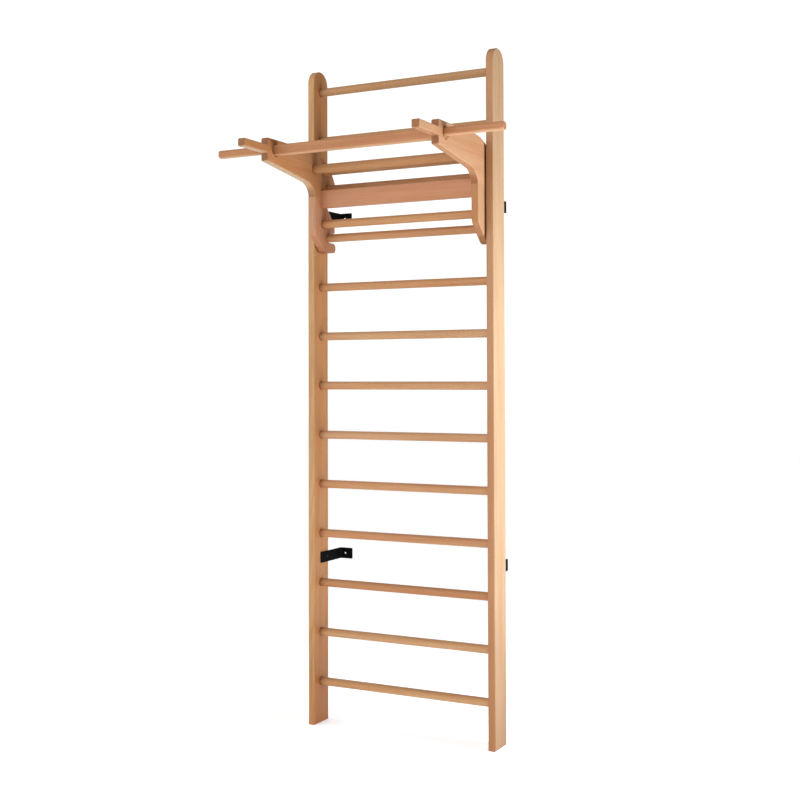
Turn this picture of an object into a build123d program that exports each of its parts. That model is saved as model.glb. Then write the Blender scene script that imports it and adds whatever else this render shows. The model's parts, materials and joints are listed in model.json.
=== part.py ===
"""Wooden wall bars with a hook-on pull-up bar.

Two uprights carry thirteen round rungs in blind bores and stand off the wall on four steel
angles.  A pull-up frame hangs on them: two side plates hook over one rung, rest against the
rung below it, and carry a crossbar in front, three dowels and a spreader board.

Millimetres, +X to the right, +Y into the wall, +Z up.  Z = 0 is the floor, X = 0 is the middle
and Y = 0 is halfway between the wall and the tips of the forward grips.
"""
import os
from math import sqrt

from build123d import *

# ---- wall bars: driving dimensions ------------------------------------------------------------
height = 2400.0              # floor to the top of the uprights
upright_thickness = 28.0     # along X
upright_depth = 96.0         # along Y
upright_edge = 4.0           # rounding of the long edges
clear_width = 688.0          # between the inner faces of the uprights

rung_count = 13
rung_radius = 15.0
rung_pitch = 181.0
first_rung_z = 150.5
rung_bore_depth = 18.0
glue_gap = 0.05              # radial gap of every glued round joint
end_gap = 0.1                # between a rung or dowel end and the bottom of its bore

wall_gap = 89.0              # back of the uprights to the wall
steel_width = 40.0           # the angles are flat bar 40 x 4
steel_thickness = 4.0
steel_leg = 146.0            # from the wall forward along the upright
steel_flange = 52.0          # from the upright inward along the wall
steel_corner = 3.0
steel_lower_z = 604.0
steel_spacing_z = 1264.0
wall_hole_radius = 3.5
wall_hole_x = 322.0
screw_inset = 14.0           # leg screw, in front of the upright's back face
screw_radius = 2.5
screw_length = 24.0          # over all; the head lies flush in the leg
screw_head_radius = 4.8
screw_head_depth = 2.6

# ---- pull-up frame: driving dimensions ----------------------------------------------------------
hook_rung = 11               # counted from the floor
hook_gap = 0.08              # hook to rung, radially
plate_thickness = 28.0
plate_gap = 5.0              # between an upright and the plate beside it
plate_edge = 4.0
horn_reach = 490.0           # tips of the forward grips, in front of the uprights
horn_height = 28.0

crossbar_length = 1090.0
crossbar_depth = 30.0
crossbar_height = 36.0
crossbar_corner = 6.0        # between the plates and in their holes
crossbar_end_corner = 10.0   # outer grips
crossbar_end_height = 27.5   # outer grips, with the same top as the middle
crossbar_tip = 4.0
crossbar_hole_radius = 21.0

front_dowel_radius = 16.0
rear_dowel_radius = 15.0
lower_dowel_radius = 15.0
dowel_bore_depth = 14.0
board_thickness = 22.0
board_height = 65.0
board_edge = 3.0
board_pin_radius = 4.0
board_pin_length = 30.0
joint_pin_radius = 5.0
joint_pin_length = 40.0

# ---- places that follow -------------------------------------------------------------------------
wall_y = (horn_reach + upright_depth + wall_gap) / 2
upright_back_y = wall_y - wall_gap
rung_y = upright_back_y - upright_depth / 2
inner_x = clear_width / 2
rung_heights = [first_rung_z + i * rung_pitch for i in range(rung_count)]
steel_heights = [steel_lower_z, steel_lower_z + steel_spacing_z]
hook_z = rung_heights[hook_rung - 1]
plate_outer_x = inner_x - plate_gap
plate_inner_x = plate_outer_x - plate_thickness
plate_middle_x = (plate_outer_x + plate_inner_x) / 2
sides = {"left": -1, "right": 1}

# Places on the side plate: (distance behind the hook rung's axis, height above it).
fork_front = -401.0
fork_top = 126.5
fork_bottom = 46.5
horn_tip = upright_depth / -2 - horn_reach
neck_front = -97.0
back_edge = 44.5
prong_back = 50.0
prong_bottom = -16.0
shoulder_start = -118.0      # where the top edge begins to curve down
shoulder_radius = 185.0
glue_line = -38.5            # arm above, leg below
crossbar_at = (-351.0, 88.5)
front_dowel_at = (-99.0, 60.5)
rear_dowel_at = (-36.0, 60.5)
lower_dowel_at = (-38.0, -133.5)
board_at = (-45.0, -43.0)
board_pins_at = {"arm": (-45.0, -24.5), "leg": (-45.0, -57.5)}
joint_pins_at = (-78.0, -28.0)


def save(piece, name):
    """Label a finished piece and write it as its own STEP file."""
    piece.part.label = name
    export_step(piece.part, f"parts/{name}.step")


def side_view(x, y=rung_y, z=hook_z):
    """Plane at x whose sketch axes are +Y and +Z from (y, z); it faces +X."""
    return Plane(origin=(x, y, z), x_dir=(0, 1, 0), z_dir=(1, 0, 0))


def corner(sketch, x, y):
    """The corner of a sketch that is closest to (x, y)."""
    return sketch.vertices().sort_by_distance((x, y, 0))[0]


# ---- uprights -----------------------------------------------------------------------------------
def make_upright(sign):
    """A board with a half-round top and eased edges, bored for the rungs and the screws."""
    inner_face = side_view(sign * inner_x, z=0)
    half = upright_depth / 2
    with BuildPart() as upright:
        with BuildSketch(inner_face):
            with BuildLine():
                Polyline((-half, height - half), (-half, 0), (half, 0), (half, height - half))
                CenterArc((0, height - half), half, 0, 180)
            make_face()
        extrude(amount=sign * upright_thickness)
        fillet(upright.faces().filter_by(Axis.X).edges(), upright_edge)
        with BuildSketch(inner_face):
            with Locations(*[(0, z) for z in rung_heights]):
                Circle(rung_radius + glue_gap)
        extrude(amount=sign * rung_bore_depth, mode=Mode.SUBTRACT)
        with BuildSketch(inner_face):
            with Locations(*[(half - screw_inset, z) for z in steel_heights]):
                Circle(screw_radius + glue_gap)
        extrude(amount=sign * (screw_length - steel_thickness + 1), mode=Mode.SUBTRACT)
    return upright


# ---- rungs and dowels ---------------------------------------------------------------------------
def make_dowel(radius, half_length, y, z):
    """A round bar along X, centred on X = 0, with chamfered ends."""
    with BuildPart() as dowel:
        with BuildSketch(side_view(-half_length, y, z)):
            Circle(radius)
        extrude(amount=2 * half_length)
        chamfer(dowel.faces().filter_by(Axis.X).edges(), 1.0)
    return dowel


# ---- steel angles and their screws --------------------------------------------------------------
def screw_head(sign, z, gap, mode):
    """The countersunk head, or with a gap its seat, flush with the steel leg's free face."""
    leg_face = (sign * (inner_x - steel_thickness), upright_back_y - screw_inset, z)
    with Locations(Plane(origin=leg_face, z_dir=(sign, 0, 0))):
        Cone(
            screw_head_radius + gap,
            screw_radius + gap,
            screw_head_depth,
            align=(Align.CENTER, Align.CENTER, Align.MIN),
            mode=mode,
        )


def make_wall_bracket(sign, z):
    """Flat bar bent once: a leg on the upright's inner face and a flange on the wall."""
    face_x = sign * inner_x
    leg_x = sign * (inner_x - steel_thickness)
    flange_x = sign * (inner_x - steel_flange)
    flange_y = wall_y - steel_thickness
    leg_start = wall_y - steel_leg
    with BuildPart() as bracket:
        with BuildSketch(Plane.XY.offset(z - steel_width / 2)) as outline:
            with BuildLine():
                Polyline(
                    (face_x, leg_start), (face_x, wall_y), (flange_x, wall_y),
                    (flange_x, flange_y), (leg_x, flange_y), (leg_x, leg_start),
                    close=True,
                )
            make_face()
            fillet(corner(outline, face_x, wall_y), 2 * steel_thickness)
            fillet(corner(outline, leg_x, flange_y), steel_thickness)
        extrude(amount=steel_width)
        free_corners = bracket.edges().filter_by(lambda e: abs(e.length - steel_thickness) < 0.01)
        fillet(free_corners, steel_corner)
        with BuildSketch(Plane(origin=(sign * wall_hole_x, wall_y, z), z_dir=(0, 1, 0))):
            Circle(wall_hole_radius)
        extrude(amount=2 * steel_thickness, both=True, mode=Mode.SUBTRACT)
        with BuildSketch(side_view(face_x, upright_back_y - screw_inset, z)):
            Circle(screw_radius + glue_gap)
        extrude(amount=2 * steel_thickness, both=True, mode=Mode.SUBTRACT)
        screw_head(sign, z, glue_gap, Mode.SUBTRACT)
    return bracket


def make_screws():
    """One countersunk screw through the leg of each steel angle into the upright."""
    with BuildPart() as screws:
        for sign in sides.values():
            head_face = side_view(sign * (inner_x - steel_thickness), upright_back_y - screw_inset, 0)
            for z in steel_heights:
                with BuildSketch(head_face):
                    with Locations((0, z)):
                        Circle(screw_radius)
                extrude(amount=sign * screw_length)
                screw_head(sign, z, 0, Mode.ADD)
    return screws


# ---- side plates of the pull-up frame -----------------------------------------------------------
def shoulder_height(a):
    """Height of the shoulder's arc at a distance a behind the hook rung."""
    return fork_top - shoulder_radius + sqrt(shoulder_radius**2 - (a - shoulder_start) ** 2)


def make_plate_outline():
    """The whole side plate, arm and leg in one, as seen from the right."""
    hook = rung_radius + hook_gap
    fork_height = crossbar_at[1] - crossbar_height / 2
    horn_low = fork_height + 4.0
    horn_high = horn_low + horn_height
    # The underside falls 8 degrees from the fork to the neck.
    neck_top = fork_bottom - 0.1435 * (neck_front - fork_front)
    # The lower mouth is an arc about the hook's axis, so that the rung below can swing out.
    mouth_radius = rung_pitch - rung_radius - 1.2
    mouth_start = (0.0, -mouth_radius)
    mouth_end = (back_edge, -sqrt(mouth_radius**2 - back_edge**2))
    finger_top = -rung_pitch - rung_radius - 1.2
    with BuildSketch() as outline:
        with BuildLine():
            Polyline(
                (shoulder_start, fork_top), (fork_front, fork_top),
                (fork_front, horn_high), (horn_tip, horn_high),
                (horn_tip, horn_low), (fork_front, horn_low),
                (fork_front, fork_bottom), (neck_front, neck_top),
                (neck_front, -168.5), (-21.0, -238.0),
                (50.0, -231.0), (50.0, finger_top), (0.0, finger_top),
            )
            ThreePointArc((0.0, finger_top), (-hook, -rung_pitch), mouth_start)
            ThreePointArc(
                mouth_start,
                (back_edge / 2, -sqrt(mouth_radius**2 - (back_edge / 2) ** 2)),
                mouth_end,
            )
            Polyline(mouth_end, (back_edge, -131.0), (-hook, -62.5), (-hook, 0.0))
            ThreePointArc((-hook, 0.0), (0.0, hook), (hook, 0.0))
            Polyline(
                (hook, 0.0), (hook, prong_bottom), (prong_back, prong_bottom),
                (prong_back, shoulder_height(prong_back)),
            )
            ThreePointArc(
                (prong_back, shoulder_height(prong_back)),
                (-20.0, shoulder_height(-20.0)),
                (shoulder_start, fork_top),
            )
        make_face()
        rounded = {
            6.0: [(fork_front, fork_top), (fork_front, fork_bottom), (horn_tip, horn_high),
                  (horn_tip, horn_low), (hook, prong_bottom), mouth_end],
            4.0: [(fork_front, horn_high), (fork_front, horn_low)],
            58.0: [(neck_front, neck_top)],
            45.0: [(neck_front, -168.5)],
            30.0: [(-21.0, -238.0)],
            15.0: [(50.0, -231.0), (50.0, finger_top)],
            12.0: [(back_edge, -131.0), (prong_back, prong_bottom)],
            20.0: [(-hook, -62.5)],
        }
        for radius, places in rounded.items():
            for place in places:
                fillet(corner(outline, *place), radius)
    return outline.sketch


def make_plate_half(outline, sign, half):
    """The arm (above the glue line) or the leg (below it) of one side plate."""
    keep = Keep.TOP if half == "arm" else Keep.BOTTOM
    inner_face = side_view(sign * plate_inner_x)
    with BuildPart() as plate:
        with BuildSketch(inner_face):
            add(outline)
        extrude(amount=sign * plate_thickness)
        fillet(plate.faces().filter_by(Axis.X).edges(), plate_edge)
        split(bisect_by=Plane.XY.offset(hook_z + glue_line), keep=keep)
        bores = {
            "arm": [(front_dowel_at, front_dowel_radius), (rear_dowel_at, rear_dowel_radius)],
            "leg": [(lower_dowel_at, lower_dowel_radius)],
        }
        for place, radius in bores[half]:
            with BuildSketch(inner_face):
                with Locations(place):
                    Circle(radius + glue_gap)
            extrude(amount=sign * dowel_bore_depth, mode=Mode.SUBTRACT)
        with BuildSketch(inner_face):
            with Locations(board_pins_at[half]):
                Circle(board_pin_radius + glue_gap)
        extrude(amount=sign * (board_pin_length / 2 + 1), mode=Mode.SUBTRACT)
        if half == "arm":
            with BuildSketch(inner_face):
                with Locations(crossbar_at):
                    Circle(crossbar_hole_radius)
            extrude(amount=sign * plate_thickness, mode=Mode.SUBTRACT)
        with BuildSketch(Plane.XY.offset(hook_z + glue_line)):
            with Locations(*[(sign * plate_middle_x, rung_y + a) for a in joint_pins_at]):
                Circle(joint_pin_radius + glue_gap)
        extrude(amount=joint_pin_length / 2 + 1, both=True, mode=Mode.SUBTRACT)
    return plate


def make_joint_pins():
    """Two upright glue pins in each plate, across the glue line."""
    with BuildPart() as pins:
        with BuildSketch(Plane.XY.offset(hook_z + glue_line)):
            for sign in sides.values():
                with Locations(*[(sign * plate_middle_x, rung_y + a) for a in joint_pins_at]):
                    Circle(joint_pin_radius)
        extrude(amount=joint_pin_length / 2, both=True)
    return pins


# ---- crossbar and spreader board ----------------------------------------------------------------
def make_crossbar():
    """A bar through both plates; its corners fit the round holes and its ends are thinner."""
    a, b = crossbar_at
    end_b = b + (crossbar_height - crossbar_end_height) / 2
    with BuildPart() as crossbar:
        with BuildSketch(side_view(-plate_outer_x)):
            with Locations((a, b)):
                RectangleRounded(crossbar_depth, crossbar_height, crossbar_corner)
        extrude(amount=2 * plate_outer_x)
        with BuildSketch(side_view(-crossbar_length / 2)):
            with Locations((a, end_b)):
                RectangleRounded(crossbar_depth, crossbar_end_height, crossbar_end_corner)
        extrude(amount=crossbar_length)
        tips = crossbar.faces().filter_by(Axis.X).group_by(Axis.X)
        fillet(tips[0].edges() + tips[-1].edges(), crossbar_tip)
    return crossbar


def make_spreader_board():
    """A flat board between the plates, with two pin bores in each end."""
    end = side_view(-plate_inner_x)
    with BuildPart() as board:
        with BuildSketch(end):
            with Locations(board_at):
                Rectangle(board_thickness, board_height)
        extrude(amount=2 * plate_inner_x)
        fillet(board.edges().filter_by(Axis.X), board_edge)
        for sign in sides.values():
            with BuildSketch(side_view(sign * plate_inner_x)):
                with Locations(*board_pins_at.values()):
                    Circle(board_pin_radius + glue_gap)
            extrude(amount=-sign * (board_pin_length / 2 + 1), mode=Mode.SUBTRACT)
    return board


def make_board_pins():
    """Four glue pins, half in the board's ends and half in the plates."""
    with BuildPart() as pins:
        for sign in sides.values():
            with BuildSketch(side_view(sign * plate_inner_x)):
                with Locations(*board_pins_at.values()):
                    Circle(board_pin_radius)
            extrude(amount=board_pin_length / 2, both=True)
    return pins


# ---- make and write every piece -----------------------------------------------------------------
os.makedirs("parts", exist_ok=True)

for side, sign in sides.items():
    save(make_upright(sign), f"{side}_upright")
    save(make_wall_bracket(sign, steel_heights[0]), f"wall_bracket_lower_{side}")
    save(make_wall_bracket(sign, steel_heights[1]), f"wall_bracket_upper_{side}")
save(make_screws(), "wall_bracket_screws")

rung_half_length = inner_x + rung_bore_depth - end_gap
for number, z in enumerate(rung_heights, start=1):
    save(make_dowel(rung_radius, rung_half_length, rung_y, z), f"rung_{number:02d}")

plate_outline = make_plate_outline()
for side, sign in sides.items():
    for half in ("arm", "leg"):
        save(make_plate_half(plate_outline, sign, half), f"{side}_plate_{half}")
save(make_joint_pins(), "plate_joint_pins")

dowel_half_length = plate_inner_x + dowel_bore_depth - end_gap
dowels = {
    "front_dowel": (front_dowel_radius, front_dowel_at),
    "rear_dowel": (rear_dowel_radius, rear_dowel_at),
    "lower_dowel": (lower_dowel_radius, lower_dowel_at),
}
for name, (radius, (a, b)) in dowels.items():
    save(make_dowel(radius, dowel_half_length, rung_y + a, hook_z + b), name)
save(make_crossbar(), "crossbar")
save(make_spreader_board(), "spreader_board")
save(make_board_pins(), "board_pins")
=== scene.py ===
"""Looks of the wooden wall bars and of the pull-up frame that hangs on them.

Every piece that can be seen is a mesh made here from its CAD node's box, in the CAD frame:
+X to the right along the rungs, +Y into the wall, +Z up, Z = 0 on the floor.  The glue pins,
which are inside the wood, keep their CAD meshes.
"""

import json
from math import acos, atan2, copysign, cos, degrees, pi, radians, sin, tan

import bpy
from mathutils import Matrix, Vector
from mathutils.geometry import tessellate_polygon


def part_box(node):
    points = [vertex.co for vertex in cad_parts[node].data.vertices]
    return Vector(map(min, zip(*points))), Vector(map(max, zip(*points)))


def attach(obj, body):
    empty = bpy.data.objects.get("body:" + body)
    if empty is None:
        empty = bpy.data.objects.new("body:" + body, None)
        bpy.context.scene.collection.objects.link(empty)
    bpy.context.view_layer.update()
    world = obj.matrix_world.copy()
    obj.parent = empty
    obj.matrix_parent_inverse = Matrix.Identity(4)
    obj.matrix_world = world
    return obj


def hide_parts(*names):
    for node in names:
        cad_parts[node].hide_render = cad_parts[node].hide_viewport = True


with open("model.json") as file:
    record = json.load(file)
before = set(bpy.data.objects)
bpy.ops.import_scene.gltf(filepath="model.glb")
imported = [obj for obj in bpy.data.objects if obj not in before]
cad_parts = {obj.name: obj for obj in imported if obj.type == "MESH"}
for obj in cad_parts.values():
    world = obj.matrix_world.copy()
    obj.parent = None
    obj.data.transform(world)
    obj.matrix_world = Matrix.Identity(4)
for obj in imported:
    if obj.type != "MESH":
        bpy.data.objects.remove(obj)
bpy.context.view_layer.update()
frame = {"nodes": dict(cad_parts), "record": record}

MM = 0.001
NEAR = 1e-3                       # mm: closer than this is the same place

# ---- camera and light ---------------------------------------------------------------------------
CAMERA_PLACE = Vector((2.05868, -3.70723, 1.26829))
CAMERA_YAW = radians(27.56)       # turned left from facing the wall squarely
CAMERA_PITCH = radians(1.1545)
CAMERA_ROLL = radians(-0.158)
CAMERA_LENS = 55.665
CAMERA_SHIFT = (-0.0106, -0.0603)

KEY_PLACE = (1.75, 0.2, 1.16)
KEY_AIM = (0.37, 0.2, 1.16)
KEY_SIZE = (0.45, 1.75)           # across and up, in metres
KEY_POWER = 48.0
KEY_COLOUR = (0.9, 1.06, 1.28)
ROOM_STRENGTH = 1.12
ROOM_FRONT = 2.2                  # times that in front of the object
ROOM_RIGHT = 0.12                 # how much of that is left at the far right
ROOM_TOP = 0.5                    # and straight above
FLOOR_GLOW = 0.40                 # light from a lit white sweep
FLOOR_HALF = 30.0
FLOOR_Z = -0.0005                 # just under the uprights' feet
FLOOR_PAINT = ((0.91, 0.91, 0.91, 1.0), (0.94, 0.94, 0.94, 1.0))
WHITE = (1.0, 1.0, 1.0, 1.0)

# ---- wood and steel, colours in linear light ----------------------------------------------------
BEECH_LIGHT = (0.52, 0.28, 0.124, 1.0)
BEECH_DARK = (0.395, 0.191, 0.0755, 1.0)
PIN_LIGHT = (0.70, 0.47, 0.27, 1.0)
PIN_DARK = (0.52, 0.32, 0.17, 1.0)
PLAIN_TONE_AND_LIGHT = (1.0, 1.0, 1.0)
PIECE_TONE_AND_LIGHT = {                         # tone of each board and bar, partly the wood's own and partly painted light and shade, set by face averages
    "left_upright": (1.21, 1.03, 0.84),
    "right_upright": (0.91, 1.04, 1.23),
    "rung_01": (0.99, 1.02, 1.06),
    "rung_02": (1.03, 1.09, 1.20),
    "rung_03": (1.01, 0.93, 0.95),
    "rung_04": (1.06, 1.01, 1.09),
    "rung_05": (1.06, 1.03, 1.10),
    "rung_06": (1.17, 1.30, 1.58),
    "rung_07": (1.10, 1.14, 1.27),
    "rung_08": (1.14, 1.24, 1.46),
    "rung_09": (1.02, 0.98, 1.02),
    "rung_10": (1.02, 0.97, 1.03),
    "rung_11": (1.12, 1.19, 1.38),
    "rung_13": (0.90, 0.94, 1.00),
    "left_plate_arm": (0.96, 0.81, 0.69),
    "right_plate_arm": (0.98, 0.95, 1.07),
    "left_plate_leg": (1.07, 0.94, 1.08),
    "right_plate_leg": (0.97, 1.01, 1.18),
    "crossbar": (0.98, 0.85, 0.88),
    "spreader_board": (1.08, 0.97, 1.14),
    "front_dowel": (0.97, 0.91, 0.87),
    "rear_dowel": (0.94, 0.91, 0.90),
    "lower_dowel": (1.00, 0.96, 0.95),
}
FRONT_PAINTED_LIGHT = {                   # the same for faces that look straight out from the wall, as painted light and shade
    "left_upright": (1.07, 1.21, 1.28),
    "right_upright": (0.91, 0.89, 0.97),
    "left_plate_arm": (0.88, 0.88, 0.99),
    "right_plate_arm": (0.94, 0.81, 0.77),
    "left_plate_leg": (0.98, 1.01, 1.31),
    "right_plate_leg": (1.02, 0.98, 0.93),
}
UNDERSIDE_PAINTED_LIGHT = {                   # and for undersides, as painted light on some and painted shade on others
    "left_plate_arm": (1.09, 1.40, 1.90),
    "right_plate_arm": (0.92, 0.86, 0.91),
    "left_plate_leg": (1.05, 0.87, 0.97),
    "right_plate_leg": (0.88, 0.80, 0.77),
    "crossbar": (1.20, 1.30, 1.60),
}
HEARTWOOD = (0.96, 0.84, 0.72, 1.0)
RAY_FLECK = (0.62, 0.5, 0.42, 1.0)
END_GRAIN = (0.84, 0.76, 0.74, 1.0)
RUBBED = (0.84, 0.78, 0.72, 1.0)
# painted shade in bores, at their rims and on bars next to them
PAINTED_SHADE_STAIN = (0.62, 0.38, 0.26, 1.0)
LOWER_DARKENING = (0.80, 0.68, 0.52, 1.0)
DARKER_BELOW = 0.6               # the uprights are darker below this, in metres
WOOD_SHINE = 0.35                 # the least roughness of the varnish
RAW_SHINE = 0.6                   # and of the bare glue pins

RING_GAP = 0.0034
RING_WANDER = 0.03
RING_TAPER = 0.012
RING_SHARPNESS = 2.5
WOOD_TEXTURES = {                 # squeeze along the fibres, scale, detail, roughness
    "wander": (0.16, 7.0, 3.0, 0.5),
    "tone": (0.2, 6.0, 2.0, 0.5),
    "bands": (0.05, 42.0, 2.0, 0.5),
    "streaks": (0.03, 130.0, 2.0, 0.5),
    "fibres": (0.02, 620.0, 3.0, 0.6),
    "pores": (0.05, 2100.0, 1.0, 0.5),
    "flecks": (0.2, 1300.0, 0.0, 0.5),
    "end_pores": (1.0, 1500.0, 1.0, 0.5),
    "patches": (0.3, 45.0, 3.0, 0.5),
    "smudges": (0.5, 22.0, 3.0, 0.5),
}
WOOD_DEPTH = {"rings": 0.22, "fibres": 0.5, "streaks": 0.55, "tone": 0.8}

BLACK_PAINT = (0.0022, 0.0022, 0.0024, 1.0)
BLACK_OXIDE = (0.03, 0.03, 0.033, 1.0)

# ---- nodes --------------------------------------------------------------------------------------
RUNGS = [f"rung_{number:02d}" for number in range(1, 14)]
BRACKETS = {
    "wall_bracket_lower_left": -1,
    "wall_bracket_lower_right": 1,
    "wall_bracket_upper_left": -1,
    "wall_bracket_upper_right": 1,
}
HOOK_RUNG = "rung_11"

# ---- sizes that the boxes do not give (mm) ------------------------------------------------------
UPRIGHT_EASE = 4.0
RUNG_BORE_DEPTH = 18.0
GLUE_GAP = 0.05
RIM_EASE = 0.9
PAINTED_SHADE_REACH = (4.0, 22.0)         # painted shade along a bar next to its bore, then fading out
DOWEL_EASE = 1.0
EDGE_WEAR = 0.6                   # wear is 1 at most where an edge is rubbed
BORE_PAINTED_SHADE = -1.0                  # and -1 where shade is painted
# painted shade at the rims of blind and through bores and along a bar near its bore
BLIND_RIM_PAINTED_SHADE = -0.6
THROUGH_RIM_PAINTED_SHADE = -0.3
NEAR_BORE_PAINTED_SHADE = -0.4

STEEL_THICKNESS = 4.0
STEEL_INNER_BEND = 4.0
STEEL_CORNER = 3.0
STEEL_EASE = 0.5
BEND_LENGTH = pi / 2 * (STEEL_INNER_BEND + STEEL_THICKNESS / 2)
BEND_STEPS = 12
WALL_HOLE_RADIUS = 3.5
WALL_HOLE_X = 322.0
SCREW_RADIUS = 2.5
SCREW_HEAD_RADIUS = 4.8
SCREW_HEAD_DEPTH = 2.6
SCREW_HEAD_EDGE = (0.25, 0.15)    # the head's outer edge: its depth, and how much it is in
SCREW_LENGTH = 24.0
SCREW_POINT = (3.0, 0.5)          # the point's length and the radius at its tip
SCREW_INSET = 14.0                # in front of the uprights' back faces
SCREW_CROSS = (2.6, 0.55)         # half length and half width of the driver's cross
SCREW_CROSS_TAPER = 0.8           # width of an arm's tip by that of its root
SCREW_CROSS_DEPTH = 1.9
SCREW_CROSS_DRAFT = 0.2

PLATE_EASE = 4.0
HOOK_RADIUS = 15.08
RUNG_PITCH = 181.0
RUNG_RADIUS = 15.0
FORK_FRONT = -401.0               # places on a side plate are from the hook rung's axis
FORK_TOP = 126.5
FORK_BOTTOM = 46.5
FORK_SLOPE = 0.1435
HORN_TIP = -538.0
HORN_TOP = 102.5
HORN_BOTTOM = 74.5
NECK_FRONT = -97.0
NECK_BOTTOM = -168.5
TOE = (-21.0, -238.0)
HEEL_BOTTOM = -231.0
PRONG_BACK = 50.0
PRONG_BOTTOM = -16.0
SLOT_TOP = -62.5
SLOT_BOTTOM = -131.0
SHOULDER_START = -118.0
CROSSBAR_AT = (-351.0, 88.5)
CROSSBAR_HOLE_RADIUS = 21.0
CROSSBAR_SIZE = (30.0, 36.0)
CROSSBAR_CORNER = 6.0
CROSSBAR_END_HEIGHT = 27.5
CROSSBAR_END_CORNER = 10.0
CROSSBAR_TIP = 4.0
CROSSBAR_END_INSET = 0.05         # so that no face of a grip is flush with the bar
BOARD_EDGE = 3.0
HOLE_EASE = 1.0
SHOULDER_RADIUS = 185.0
BACK_EDGE = 44.5
MOUTH_GAP = 1.2
MOUTH_RADIUS = RUNG_PITCH - RUNG_RADIUS - MOUTH_GAP
DOWEL_BORE_DEPTH = 14.0
GLUE_LINE = -38.5
ARM_BORES = {"front_dowel": (-99.0, 60.5), "rear_dowel": (-36.0, 60.5)}
LEG_BORES = {"lower_dowel": (-38.0, -133.5)}


# ---- outlines: lists of (u, v) in mm, anticlockwise or clockwise ---------------------------------
def arc(centre, radius, start, end, steps):
    """Points on an arc from one angle to another, in degrees, both ends included."""
    angles = [radians(start + (end - start) * i / steps) for i in range(steps + 1)]
    return [(centre[0] + radius * cos(a), centre[1] + radius * sin(a)) for a in angles]


def circle(centre, radius, steps=48):
    """A closed circle without a repeated last point."""
    return arc(centre, radius, 0, 360, steps)[:-1]


def walk(points, start, direction, distance):
    """The point at a distance along a closed outline from one vertex, and the vertices passed."""
    passed = []
    here = Vector(points[start])
    index = start
    while True:
        index = (index + direction) % len(points)
        there = Vector(points[index])
        step = (there - here).length
        if step > distance:
            return here.lerp(there, distance / step), passed
        distance -= step
        passed.append(index)
        here = there


def round_corner(points, place, radius, steps=8):
    """The outline with the corner nearest to a place rounded off."""
    index = min(range(len(points)), key=lambda i: (Vector(points[i]) - Vector(place)).length)
    corner = Vector(points[index])
    before = (Vector(points[index - 1]) - corner).normalized()
    after = (Vector(points[(index + 1) % len(points)]) - corner).normalized()
    turn = pi - before.angle(after)
    reach = radius * tan(turn / 2)
    first, passed_before = walk(points, index, -1, reach)
    last, passed_after = walk(points, index, 1, reach)
    pull = 4 / 3 * tan(turn / 4) * radius / reach
    handle_a = first.lerp(corner, pull)
    handle_b = last.lerp(corner, pull)
    curve = []
    for i in range(steps + 1):
        t = i / steps
        s = 1 - t
        curve.append(tuple(
            s**3 * first + 3 * s * s * t * handle_a + 3 * s * t * t * handle_b + t**3 * last
        ))
    gone = set(passed_before) | set(passed_after) | {index}
    kept = []
    for i, point in enumerate(points):
        if i == index:
            kept.extend(curve)
        elif i not in gone:
            kept.append(point)
    return kept


def rounded_rectangle(centre, width, height, radius, steps=8):
    """A rectangle with round corners; the same steps always give the same number of points."""
    u = width / 2 - radius
    v = height / 2 - radius
    points = []
    for quarter, (su, sv) in enumerate(((1, 1), (-1, 1), (-1, -1), (1, -1))):
        middle = (centre[0] + su * u, centre[1] + sv * v)
        points.extend(arc(middle, radius, 90 * quarter, 90 * quarter + 90, steps))
    return points


def edge_normals(points):
    """The outward unit normal of every edge of a closed outline."""
    area = sum(
        points[i - 1][0] * points[i][1] - points[i][0] * points[i - 1][1]
        for i in range(len(points))
    )
    side = 1 if area > 0 else -1
    normals = []
    for i, (u, v) in enumerate(points):
        u2, v2 = points[(i + 1) % len(points)]
        normals.append(Vector((side * (v2 - v), side * (u - u2))).normalized())
    return normals


def inset(points, amount, square=()):
    """The outline moved inward; the edges numbered in square keep their line."""
    normals = edge_normals(points)
    moved = []
    for i, point in enumerate(points):
        before, after = normals[i - 1], normals[i]
        d1 = 0 if (i - 1) % len(points) in square else amount
        d2 = 0 if i in square else amount
        across = before.x * after.y - before.y * after.x
        if abs(across) < 0.05 and d1 == d2:
            mean = (before + after).normalized()
            shift = mean * (d1 / mean.dot(before))
        else:
            shift = Vector(((d1 * after.y - d2 * before.y), (d2 * before.x - d1 * after.x))) / across
        moved.append((point[0] - shift.x, point[1] - shift.y))
    return moved


def end_normals(points, sharp=radians(25)):
    """For every edge, the normals to shade its two ends with; a sharp corner keeps them apart."""
    flat = edge_normals(points)
    count = len(points)
    pairs = []
    for i in range(count):
        own = flat[i]
        start = own if flat[i - 1].angle(own, 0) > sharp else (flat[i - 1] + own).normalized()
        after = flat[(i + 1) % count]
        end = own if after.angle(own, 0) > sharp else (after + own).normalized()
        pairs.append((start, end))
    return pairs


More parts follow.
